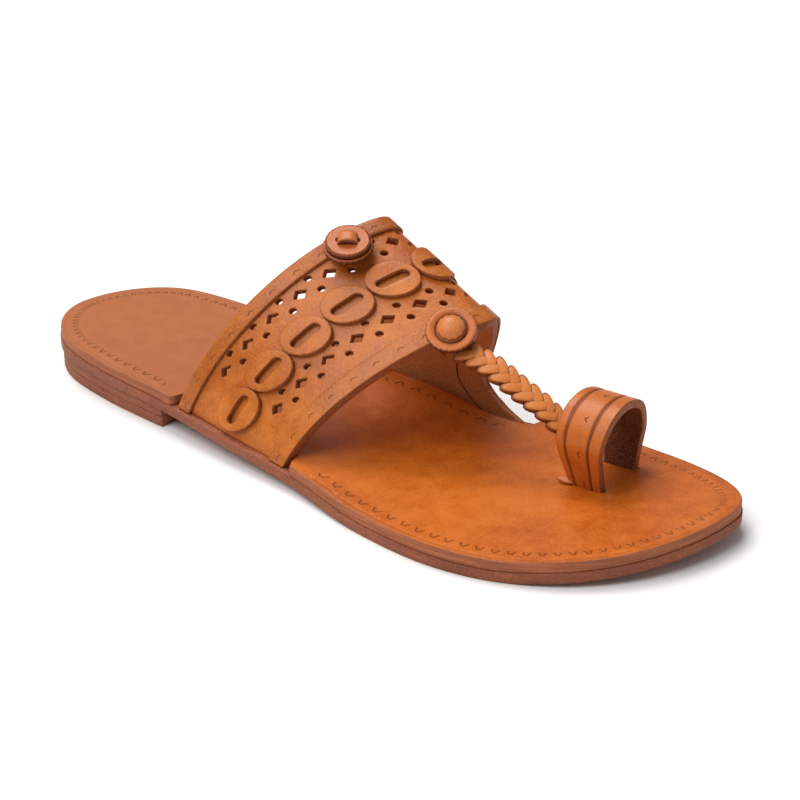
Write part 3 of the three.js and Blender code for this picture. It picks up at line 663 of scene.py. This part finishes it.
def rect_loop(x0, y0, x1, y1, step):
    corners = [(x0, y0), (x1, y0), (x1, y1), (x0, y1)]
    loop = []
    for (ax, ay), (bx, by) in zip(corners, corners[1:] + corners[:1]):
        count = max(1, round(math.hypot(bx - ax, by - ay) / step))
        loop += [(lerp(ax, bx, i / count), lerp(ay, by, i / count)) for i in range(count)]
    return loop


def diamond_loop(x, y, long, short):
    corners = [(x + long / 2, y), (x, y + short / 2), (x - long / 2, y), (x, y - short / 2)]
    return [(lerp(a[0], b[0], t), lerp(a[1], b[1], t))
            for a, b in zip(corners, corners[1:] + corners[:1]) for t in (0.06, 0.35, 0.65, 0.94)]


def punched_loops():
    loops = []
    for row in (BACK_ROW, FRONT_ROW):
        long = DIAMOND_LONG * GIRTH / girths[row]
        short = DIAMOND_SHORT * BAND_WIDTH / width_at(CENTRE)
        for k in range(-DIAMONDS_EACH_SIDE, DIAMONDS_EACH_SIDE + 1):
            place = (CENTRE + k * DIAMOND_PITCH / girths[row]) * GIRTH
            if row != BACK_ROW or k != 0:
                loops.append(diamond_loop(place, row, long, short))
            if k < DIAMONDS_EACH_SIDE:
                between = (CENTRE + (k + 0.5) * DIAMOND_PITCH / girths[row]) * GIRTH
                loops.append(round_loop(between, row - HOLE_OFFSET, HOLE_RADIUS, HOLE_STEPS))
                loops.append(round_loop(between, row + HOLE_OFFSET, HOLE_RADIUS, HOLE_STEPS))
    return loops


def note_flat(bm):
    """Keeps each point's place on the flat hide, so that marks can follow the leather."""
    run, depth = bm.verts.layers.float.new("run"), bm.verts.layers.float.new("depth")
    for vert in bm.verts:
        vert[run], vert[depth] = vert.co.x, vert.co.y


def lay_on_band(bm, lift):
    for vert in bm.verts:
        vert.co = on_leather(vert.co.x / GIRTH, vert.co.y / BAND_WIDTH, lift + vert.co.z) * MM


def strip_loop(low, high, step):
    """A strip of the hide that goes over the instep from foot to foot."""
    return rect_loop(BAND_START * GIRTH, low, (1 - BAND_START) * GIRTH, high, step)


band_outline = strip_loop(BAND_TRIM, BAND_WIDTH - BAND_TRIM, BAND_STEP)
bm = cut_leather([band_outline] + punched_loops(), BAND_CELL, BAND_CELL)
note_flat(bm)
give_thickness(bm, BAND_WALL, BAND_TRIM)
lay_on_band(bm, 0)
TAN_EDGE, TAN_RAW, TAN_FLESH = dye(94, 42, 18), dye(168, 96, 52), dye(214, 138, 78)


def tan_leather(name, light, dark, gloss, edge=TAN_EDGE):
    """The upper's leather, whose pieces differ in dye, gloss and the colour of their burnished edges, which
    is also the colour of their painted shade.
    """
    return tanned_leather(name, light, dark, edge, TAN_RAW, TAN_FLESH, gloss)


band_recipe = tan_leather("band_leather", dye(210, 120, 42), dye(170, 84, 24), 0.38)
seam = band_recipe.math("SUBTRACT", band_recipe.note("depth"), LINING_SEAM)
seam = band_recipe.spread(band_recipe.math("ABSOLUTE", seam), 0.1, 0.5, 1.0, 0.0)
seam = band_recipe.math("MULTIPLY", seam, band_recipe.note("flesh"))
band_recipe.flesh = band_recipe.mix(seam, TAN_FLESH, TAN_EDGE)
make_piece("punched_instep_band", bm, dress(band_recipe), "instep_band")

# The edge strips: a narrow second layer of the same leather laid along the back and the front edge of
# the band, sewn down and tooled with small paired strokes.
STRIP = 1.0
STRIP_LIFT = 1.15
STRIP_EASE, STRIP_STEP, STRIP_CELLS = 0.3, 1.2, (1.5, 1.0)
STRIPS = [
    ("back_edge_strip", 0.15, 5.1),
    ("front_edge_strip", BAND_WIDTH - 6.0, BAND_WIDTH - 0.15),
]
strip_recipe = tan_leather("strip_leather", dye(200, 114, 42), dye(160, 80, 24), 0.36)
stamp_marks(strip_recipe, pitch=8.4, row=2.6, half=0.35, slope=1.6, reach=0.5, depth=1.8, shade=0.5)
strip_leather = dress(strip_recipe)
for name, low, high in STRIPS:
    bm = cut_leather([strip_loop(low, high, STRIP_STEP)], *STRIP_CELLS)
    note_flat(bm)
    depth = bm.verts.layers.float["depth"]
    for vert in bm.verts:
        vert[depth] = vert[depth] - low
    give_thickness(bm, STRIP, STRIP_EASE)
    lay_on_band(bm, STRIP_LIFT)
    make_piece("tooled_" + name, bm, strip_leather, name)

# The slotted discs: nine rounds of leather in a row over the instep, each punched with a long slot and
# sewn to the band edge to edge, so that they follow its curve.
DISC_COUNT, DISC_RADIUS, DISC_PITCH, DISC = 9, 7.6, 15.5, 1.6
DISC_EASE, DISC_STEPS, DISC_CELL, DISC_GAP = 0.3, 56, 1.3, 0.3
SLOT_LONG, SLOT_WIDE, SLOT_STEPS = 11.0, 4.0, 24
disc_leather = dress(tan_leather("disc_leather", dye(210, 120, 42), dye(172, 88, 26), 0.37))


def slot_loop():
    straight, radius = (SLOT_LONG - SLOT_WIDE) / 2, SLOT_WIDE / 2
    turns = [2 * math.pi * (i + 0.5) / SLOT_STEPS for i in range(SLOT_STEPS)]
    ways = [(math.cos(t), math.sin(t)) for t in turns]
    return [(math.copysign(straight, x) + radius * x, radius * y) for x, y in ways]


for k in range(DISC_COUNT):
    round_edge = round_loop(0, 0, DISC_RADIUS - DISC_EASE, DISC_STEPS)
    bm = cut_leather([round_edge, slot_loop()], DISC_CELL, DISC_CELL)
    give_thickness(bm, DISC, DISC_EASE)
    middle = CENTRE + (k - (DISC_COUNT - 1) / 2) * DISC_PITCH / girths[DISC_ROW]
    wide = width_at(middle)
    for vert in bm.verts:
        x, y, z = vert.co
        s, w = middle + x / girths[DISC_ROW], DISC_ROW / BAND_WIDTH + y / wide
        vert.co = on_leather(s, w, DISC + DISC_GAP + z) * MM
    make_piece(f"round_slotted_disc_{k + 1}", bm, disc_leather, f"slotted_disc_{k + 1}")

# The rosettes: two stacked discs with a knotted thong over the back strip, and a disc with a domed
# button over the front strip. They are turned from leather and tied through the band: the back one's
# tie stands as a short post between its lower disc and the band.
ROSETTE_SEAT = 1.5
UPPER_SEAT, KNOT_SEAT, BUTTON_SEAT = ROSETTE_SEAT + 1.8, ROSETTE_SEAT + 3.6, ROSETTE_SEAT + 1.7
ROSETTE_RADIUS, UPPER_RADIUS, ROSETTE = 8.0, 7.2, 1.7
BACK_SEAT = {"along": -2.4, "across": 7.6, "tilt": 13, "lean": -10, "raised": 1.9}
FRONT_SEAT = {"along": -1.2, "across": 47.8, "tilt": 0, "lean": 0, "raised": 0}
# The third column darkens the button's foot: painted shade where the dome meets the disc.
BUTTON = [
    (0, 0, 0), (4.3, 0, 1), (4.5, 0.5, 0.6), (4.2, 1.2, 0), (3.4, 2.0, 0), (2.2, 2.6, 0), (1.0, 2.85, 0),
    (0, 2.9, 0),
]
TIE_RADIUS, TIE_LONG = 2.4, 3.1
# Painted shade: the tie's post and the lower disc's underside are dark, as the shade between the disc and
# the band.
TIE_FOOT = [(0, -TIE_LONG, 0.3), (TIE_RADIUS, -TIE_LONG, 0.6), (TIE_RADIUS, 0, 0.6)]
TURN_STEPS = 80
SCALLOP_FROM, SCALLOP_BAND = 0.8, 0.2
rosette_leather = dress(
    tan_leather("rosette_leather", dye(204, 112, 46), dye(182, 92, 34), 0.38, dye(88, 38, 18))
)
knot_leather = dress(tan_leather("knot_leather", dye(212, 128, 70), dye(194, 106, 52), 0.4, dye(96, 44, 22)))


def seat_on_band(along, across, tilt, lean, raised, lift):
    """Where a rosette sits: its place, tipped back over the ridge and raised by its tie."""
    w = across / BAND_WIDTH
    s = CENTRE + along / girth_at(w)
    along_way, across_way, out = band_frame(s, w)
    place = Matrix.Translation(band_point(s, w) + out * raised)
    turn = Matrix((along_way, -across_way, out)).transposed().to_4x4()
    tip = Matrix.Rotation(math.radians(tilt), 4, "Y") @ Matrix.Rotation(math.radians(lean), 4, "X")
    return place @ turn @ tip @ Matrix.Translation((0, 0, lift))


def turn_round(profile, scallops, depth):
    """Spins a profile of (radius, height, burnish_and_shade) and nips its rim into scallops."""
    bm = bmesh.new()
    burnish_and_shade = bm.verts.layers.float.new("burnish_and_shade")
    verts = []
    for radius, height, dark in profile:
        vert = bm.verts.new((radius, 0, height))
        vert[burnish_and_shade] = dark
        verts.append(vert)
    edges = [bm.edges.new(pair) for pair in zip(verts, verts[1:])]
    bmesh.ops.spin(
        bm, geom=verts + edges, axis=(0, 0, 1), cent=(0, 0, 0), angle=2 * math.pi, steps=TURN_STEPS,
        use_merge=True,
    )
    bmesh.ops.remove_doubles(bm, verts=bm.verts[:], dist=WELD)
    widest = max(p[0] for p in profile)
    for vert in bm.verts:
        radius = math.hypot(vert.co.x, vert.co.y)
        share = max(0, (radius - SCALLOP_FROM * widest) / (SCALLOP_BAND * widest))
        nip = 1 - depth * share * abs(math.sin(scallops / 2 * math.atan2(vert.co.y, vert.co.x))) ** 4
        vert.co.x *= nip
        vert.co.y *= nip
    return bm


def disc_profile(radius, thickness, ring_at, ring_deep, foot=((0, 0, 0),)):
    """A disc's section as (radius, height, burnish_and_shade): foot, eased rim, face and a pressed ring,
    darkened with painted shade by its depth.
    """
    shoulder, floor = thickness - 0.4, thickness - ring_deep
    rim = [
        (radius - 0.3, 0, 1), (radius, 0.3, 1), (radius, shoulder, 0.9),
        (radius - 0.15, shoulder + 0.28, 0.4),
    ]
    face = [(radius - 0.5, thickness, 0), (ring_at + 0.5, thickness, 0)]
    # Painted shade: the pressed ring's floor darkens with its depth; on the front disc it is the dark ring
    # round the button.
    dark = min(1, 4 * ring_deep)
    ring = [(ring_at + 0.15, floor, dark), (ring_at - 0.15, floor, dark), (ring_at - 0.5, thickness, 0)]
    return [*foot] + rim + face + ring + [(0, thickness + 0.1, 0)]


def seat_piece(name, bm, matrix, material, node):
    bmesh.ops.transform(bm, matrix=Matrix.Scale(MM, 4) @ matrix, verts=bm.verts[:])
    make_piece(name, bm, material, node)


lower_disc = disc_profile(ROSETTE_RADIUS, ROSETTE, ring_at=6.9, ring_deep=0.2, foot=TIE_FOOT)
seat_piece("scalloped_back_disc", turn_round(lower_disc, scallops=26, depth=0.04),
           seat_on_band(lift=ROSETTE_SEAT, **BACK_SEAT), rosette_leather, "back_rosette_lower")
upper_disc = disc_profile(UPPER_RADIUS, ROSETTE, ring_at=6.3, ring_deep=0)
seat_piece("smooth_back_disc", turn_round(upper_disc, scallops=30, depth=0.015),
           seat_on_band(lift=UPPER_SEAT, **BACK_SEAT), rosette_leather, "back_rosette_upper")
front_disc = disc_profile(ROSETTE_RADIUS, ROSETTE, ring_at=4.9, ring_deep=0.5)
seat_piece("scalloped_front_disc", turn_round(front_disc, scallops=28, depth=0.035),
           seat_on_band(lift=ROSETTE_SEAT, **FRONT_SEAT), rosette_leather, "front_rosette")
seat_piece("domed_front_button", turn_round(BUTTON, scallops=12, depth=0.06),
           seat_on_band(lift=BUTTON_SEAT, **FRONT_SEAT), knot_leather, "front_rosette_button")

KNOT_LONG, KNOT_WIDE, KNOT_RISE = 6.4, 4.6, 2.2
KNOT_TURN = math.radians(-31)
KNOT_WALL, KNOT_SINK, KNOT_ROUND = 1.0, 0.3, 0.35
SLIT_LONG, SLIT_WIDE, SLIT_RISE = 8.0, 3.6, 0.1
bm = bmesh.new()
burnish_and_shade = bm.verts.layers.float.new("burnish_and_shade")
bmesh.ops.create_grid(bm, x_segments=20, y_segments=8, size=0.5)
solid = bmesh.ops.extrude_face_region(bm, geom=bm.faces[:])["geom"]
top = {g for g in solid if isinstance(g, bmesh.types.BMVert)}
for vert in bm.verts:
    x, y = vert.co.x, vert.co.y
    arch = max(0.0, 1 - (2 * abs(x)) ** 3.2) ** 0.6
    round_off = KNOT_ROUND * (2 * abs(y)) ** 4
    outer, inner = KNOT_RISE * arch - round_off, (KNOT_RISE - KNOT_WALL) * arch - KNOT_SINK
    lift = outer if vert in top else inner
    vert[burnish_and_shade] = 0.8 if abs(y) > 0.45 else 0.0
    vert.co = (x * KNOT_LONG, y * KNOT_WIDE, lift)
# Painted shade: the slits are fully dark, as the shade in the gaps where the thong goes into the disc.
slits = bmesh.ops.create_circle(bm, cap_ends=True, segments=24, radius=0.5)["verts"]
for vert in slits:
    vert[burnish_and_shade] = 1.0
    vert.co = (vert.co.x * SLIT_LONG, vert.co.y * SLIT_WIDE, SLIT_RISE)
pad = list({f for v in slits for f in v.link_faces})
sunk = bmesh.ops.extrude_face_region(bm, geom=pad)["geom"]
sunk_verts = [g for g in sunk if isinstance(g, bmesh.types.BMVert)]
bmesh.ops.translate(bm, verts=sunk_verts, vec=(0, 0, -KNOT_SINK))
bmesh.ops.rotate(bm, verts=bm.verts[:], cent=(0, 0, 0), matrix=Matrix.Rotation(KNOT_TURN, 3, "Z"))
knot_place = seat_on_band(lift=KNOT_SEAT, **BACK_SEAT)
seat_piece("tied_back_knot", bm, knot_place, knot_leather, "back_rosette_knot")

# The braided thong: narrow strands of leather plaited in a flat fishtail, tied under the front rosette
# and led down into the sole behind the toe ring.
THONG_ROUTE = [
    (38.6, 6.8, 41.6), (50, 7.8, 38.2), (58, 8.6, 34), (69, 10.4, 27.4), (77, 13.2, 18), (80, 15.2, 9.4),
]
THONG_WIDE, THONG_END = 7.8, 6.8
CROSSINGS = 24
BRAID_FROM, BRAID_TO = 0.03, 0.985
LEAF_LONG, LEAF_WIDE, LEAF_THICK = 3.9, 1.75, 1.0
LEAF_SQUARE, LEAF_FLAT, LEAF_TAPER = 0.75, 0.55, 0.2
LEAF_OUT, LEAF_UP = 0.22, 0.75
CORE_WIDE, CORE_THICK = 0.38, 1.5
TAIL = Vector((76.6, 9.1, 7.6))
LEAN = math.radians(38)
ROLL = math.radians(28)
# On the braid, the edge colour is only used for the painted shade between the strands.
braid_leather = dress(
    tan_leather("braid_leather", dye(222, 136, 70), dye(204, 114, 50), 0.4, dye(116, 56, 24))
)
thong_lengths = running_lengths([Vector(p) for p in THONG_ROUTE])
thong_curve = [smooth_through(thong_lengths, [p[k] for p in THONG_ROUTE]) for k in range(3)]


def thong_frame(share):
    """A place on the thong with its heading, side and top, rolled towards the little toe."""
    along = share * thong_lengths[-1]
    place, before, after = (Vector([c(along + step) for c in thong_curve]) for step in (0, -0.5, 0.5))
    heading = (after - before).normalized()
    side = Vector((0, 0, 1)).cross(heading).normalized()
    roll = Matrix.Rotation(ROLL, 3, heading)
    return place, heading, roll @ side, roll @ heading.cross(side).normalized()


bm = bmesh.new()
burnish_and_shade = bm.verts.layers.float.new("burnish_and_shade")
for level in (1, -1):
    for k in range(CROSSINGS):
        share = lerp(BRAID_FROM, BRAID_TO, (k + 0.5) / CROSSINGS)
        hand = 1 if k % 2 else -1
        place, heading, side, top = thong_frame(share)
        wide = lerp(THONG_WIDE, THONG_END, share)
        forward = heading * math.cos(LEAN) - side * math.sin(LEAN) * hand
        across = side * math.cos(LEAN) + heading * math.sin(LEAN) * hand
        leaf = bmesh.ops.create_uvsphere(bm, u_segments=18, v_segments=12, radius=1)["verts"]
        for vert in leaf:
            x, y = (math.copysign(abs(c) ** LEAF_SQUARE, c) for c in vert.co.xy)
            z = vert.co.z
            # Painted shade: each strand is dark on its sides, on its face towards the other layer and at its
            # back end where it tucks under, and light only along its top.
            vert[burnish_and_shade] = min(0.95, max(0, 0.72 - z * level) * 1.7 + max(0, -0.6 - x) * 1.5)
            thick = math.copysign(abs(z) ** LEAF_FLAT, z) * LEAF_THICK + level * (0.5 * x - 0.35 * x * x)
            local = forward * x * LEAF_LONG + across * y * LEAF_WIDE * (1 + LEAF_TAPER * x) + top * thick
            vert.co = (place + side * hand * wide * LEAF_OUT + top * level * LEAF_UP + local) * MM
tail = bmesh.ops.create_uvsphere(bm, u_segments=18, v_segments=12, radius=1)["verts"]
for vert in tail:
    x, y, z = vert.co
    # Painted shade: the tail is darker underneath.
    vert[burnish_and_shade] = 0.5 if z < 0.3 else 0.15
    vert.co = (TAIL + Vector((3.0 * x, (1.5 + 0.5 * x) * y + 0.5 * x, 0.9 * z))) * MM
core = bmesh.ops.create_grid(bm, x_segments=40, y_segments=12, size=0.5)["verts"]
for vert in core:
    share, turn = vert.co.x + 0.5, (vert.co.y + 0.5) * 2 * math.pi
    place, heading, side, top = thong_frame(share)
    wide = lerp(THONG_WIDE, THONG_END, share) * CORE_WIDE
    vert.co = (place + side * math.cos(turn) * wide + top * math.sin(turn) * CORE_THICK) * MM
    # The core is painted fully dark, as the shade in the gaps between the strands.
    vert[burnish_and_shade] = 1.0
bmesh.ops.remove_doubles(bm, verts=core, dist=1e-6)
bmesh.ops.holes_fill(bm, edges=[e for e in bm.edges if e.is_boundary], sides=0)
make_piece("plaited_thong", bm, braid_leather, "braided_thong")

# The toe ring: a wide strip of thick leather bent round the big toe, both ends let into slits in the
# insole. Two creased lines and a few small stamps run round it, and its flesh side is left fuzzy.
RING_LONG, RING_WIDE = 84.0, 16.0
RING_EASE, RING_STEP, RING_CELLS = 0.3, 0.8, (1.4, 0.4)
LINE_SHARES, LINE_HALF, LINE_DEEP, GRAIN_SIDE = (0.2, 0.72), 0.8, 0.5, -0.2
ring_recipe = tanned_leather(
    "ring_leather", dye(196, 104, 34), dye(158, 74, 20), dye(84, 36, 16), dye(172, 108, 68),
    dye(132, 82, 48), gloss=0.38,
)
stamp_marks(ring_recipe, pitch=12.0, row=8.0, half=0.3, slope=1.0, reach=0.7, depth=1.8, shade=0.7)
ring_outline = rect_loop(RING_EASE, RING_EASE, RING_LONG - RING_EASE, RING_WIDE - RING_EASE, RING_STEP)
bm = cut_leather([ring_outline], *RING_CELLS)
note_flat(bm)
give_thickness(bm, RING_WALL, RING_EASE)
burnish_and_shade = bm.verts.layers.float.new("burnish_and_shade")
for vert in bm.verts:
    x, y, z = vert.co
    nearest = min(abs(y - RING_WIDE * share) for share in LINE_SHARES)
    crease = max(0.0, 1 - nearest / LINE_HALF) if z > GRAIN_SIDE else 0.0
    vert[burnish_and_shade] = crease
    vert.co = ring_point(x / RING_LONG, y / RING_WIDE, z - LINE_DEEP * crease) * MM
make_piece("creased_toe_ring", bm, dress(ring_recipe, fuzzy=0.9), "toe_ring")

# The stage: a floor of white paper, a soft studio light from two sides with a faint fill from all round,
# and the camera, at the photograph's angle to the sandal.
FLOOR_HALF = 6
FILL = 0.28
LIGHTS = [("window", 1.9, 32, (0.55, -0.25, -1.25)), ("soft_box", 1.7, 40, (0.25, 0.6, -0.9))]
EYE, AIM = Vector((0.3408, -0.43, 0.2796)), Vector((0.0183, 0.0033, 0.02))
SENSOR, LENS = 36, 86
floor_mesh = bpy.data.meshes.new("floor")
bm = bmesh.new()
bmesh.ops.create_grid(bm, x_segments=1, y_segments=1, size=FLOOR_HALF)
bm.to_mesh(floor_mesh)
bm.free()
floor_paper = Recipe("floor_paper")
paper = floor_paper.mix(floor_paper.noise(3), (0.9, 0.9, 0.9, 1), (0.92, 0.92, 0.92, 1))
floor_mesh.materials.append(floor_paper.finish(paper, 0.9))
floor = bpy.data.objects.new("floor", floor_mesh)
bpy.context.scene.collection.objects.link(floor)

world = bpy.data.worlds.new("studio")
world.use_nodes = True
background = world.node_tree.nodes["Background"]
background.inputs["Color"].default_value = (1, 1, 1, 1)
background.inputs["Strength"].default_value = FILL
bpy.context.scene.world = world
for name, energy, spread_angle, way in LIGHTS:
    lamp = bpy.data.lights.new(name, "SUN")
    lamp.energy = energy
    lamp.angle = math.radians(spread_angle)
    light = bpy.data.objects.new(name, lamp)
    light.rotation_euler = Vector(way).to_track_quat("-Z", "Y").to_euler()
    bpy.context.scene.collection.objects.link(light)

camera_data = bpy.data.cameras.new("camera")
camera_data.sensor_width = SENSOR
camera_data.lens = LENS
camera = bpy.data.objects.new("camera", camera_data)
camera.location = EYE
camera.rotation_euler = (AIM - EYE).to_track_quat("-Z", "Y").to_euler()
bpy.context.scene.collection.objects.link(camera)
bpy.context.scene.camera = camera
bpy.context.scene.view_settings.view_transform = "Standard"
